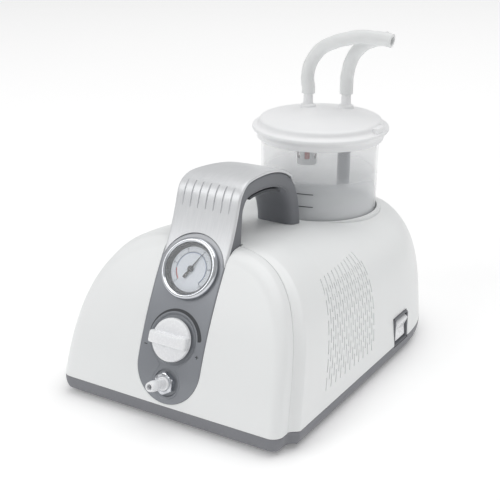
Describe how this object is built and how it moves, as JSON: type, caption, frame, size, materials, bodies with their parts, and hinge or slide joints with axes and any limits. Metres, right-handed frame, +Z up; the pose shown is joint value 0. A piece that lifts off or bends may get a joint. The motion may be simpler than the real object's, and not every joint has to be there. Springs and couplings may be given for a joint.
{
  "type": "suction pump",
  "caption": "Portable medical suction pump with a leaning housing, carrying handle, vacuum gauge, regulator knob, front nozzle and lift-out collection jar with soft tubes.",
  "frame": {"origin": "on the floor under the middle of the footprint, from the nozzle tip to the rear wall", "axes": "+Z up, +Y from the control panel to the jar, +X to the right when facing the panel"},
  "size_m": [0.197, 0.3004, 0.2428],
  "materials": {
    "white_shell": "satin moulded plastic",
    "grey_base": "fine textured plastic",
    "panel_grey": "satin painted plastic",
    "silver_skin": "silver painted plastic",
    "dark_frame": "fine textured plastic",
    "soft_grip": "soft touch",
    "black_plastic": "matt",
    "knob_white": "gloss moulded",
    "rubber_black": "matt",
    "steel": "zinc plated",
    "chrome_trim": "polished",
    "brass_fitting": "machined",
    "dial_print": "printed card",
    "clear_lens": "clear",
    "jar_clear": "clear moulded polycarbonate",
    "lid_white": "translucent white",
    "silicone": "translucent silicone",
    "float_red": "gloss",
    "laminations": "varnished laminations",
    "copper_coils": "varnished winding",
    "alloy": "cast",
    "piston_polymer": "smooth",
    "hose_clear": "translucent"
  },
  "bodies": {
    "housing": {"base_tray": "grey_base", "rubber_feet": "rubber_black", "tray_screws": "steel", "rear_housing": "white_shell", "front_cover": "white_shell", "control_panel": "panel_grey", "gauge_case": "black_plastic", "gauge_bezel": "chrome_trim", "dial_ring": "black_plastic", "gauge_dial": "dial_print", "gauge_lens": "clear_lens", "gauge_stem": "brass_fitting", "gauge_movement": "brass_fitting", "regulator_body": "brass_fitting", "suction_nozzle": "knob_white", "nozzle_nut": "chrome_trim", "handle_shell": "silver_skin", "handle_frame": "dark_frame", "handle_grip": "soft_grip", "handle_screws": "steel", "jar_well": "white_shell", "switch_bezel": "dark_frame", "power_inlet": "black_plastic", "inlet_pins": "steel", "fuse_holder": "black_plastic", "vibration_mounts": "rubber_black", "mount_plate": "steel", "motor_stator": "laminations", "motor_coils": "copper_coils", "motor_frames": "alloy", "motor_bearings": "steel", "crankcase": "alloy", "cylinder_sleeve": "alloy", "cylinder_head": "alloy", "pump_screws": "steel", "vacuum_manifold": "black_plastic", "inlet_hose": "hose_clear", "gauge_hose": "hose_clear", "suction_hose": "hose_clear", "exhaust_silencer": "piston_polymer", "run_capacitor": "alloy"},
    "needle": {"gauge_needle": "black_plastic"},
    "knob": {"regulator_knob": "knob_white", "regulator_stem": "steel"},
    "rocker": {"switch_rocker": "knob_white"},
    "rotor": {"motor_shaft": "steel", "motor_rotor": "laminations", "crank": "alloy", "cooling_fan": "piston_polymer"},
    "piston_rod": {"piston": "piston_polymer", "connecting_rod": "alloy"},
    "jar": {"jar_body": "jar_clear"},
    "lid": {"jar_lid": "lid_white", "lid_seal": "silicone", "float_cage": "lid_white", "dip_tube": "jar_clear", "dip_cup": "dark_frame", "patient_tube": "silicone", "vacuum_tube": "silicone"},
    "float": {"float_ball": "float_red"}
  },
  "joints": [
    {"name": "needle_turn", "type": "hinge", "parent": "housing", "child": "needle", "pos_m": [0, -0.09798, 0.10521], "axis": [0, -0.8593, 0.5114], "range_deg": [-107, 163]},
    {"name": "knob_turn", "type": "hinge", "parent": "housing", "child": "knob", "pos_m": [0, -0.12437, 0.06138], "axis": [0, 0.9268, -0.3756], "range_deg": [0, 180]},
    {"name": "rocker_tip", "type": "hinge", "parent": "housing", "child": "rocker", "pos_m": [0.0912, 0.05072, 0.0248], "axis": [0, 1, 0], "range_deg": [-16, 0]},
    {"name": "rotor_spin", "type": "hinge", "parent": "housing", "child": "rotor", "pos_m": [0, -0.02178, 0.0507], "axis": [1, 0, 0], "continuous": true},
    {"name": "piston_stroke", "type": "slide", "parent": "housing", "child": "piston_rod", "axis": [0, 0, 1], "range_m": [-0.003, 0.003]},
    {"name": "jar_lift", "type": "slide", "parent": "housing", "child": "jar", "axis": [0, 0, 1], "range_m": [0, 0.09]},
    {"name": "lid_lift", "type": "slide", "parent": "jar", "child": "lid", "axis": [0, 0, 1], "range_m": [0, 0.065]},
    {"name": "float_rise", "type": "slide", "parent": "lid", "child": "float", "axis": [0, 0, 1], "range_m": [0, 0.0172]}
  ]
}
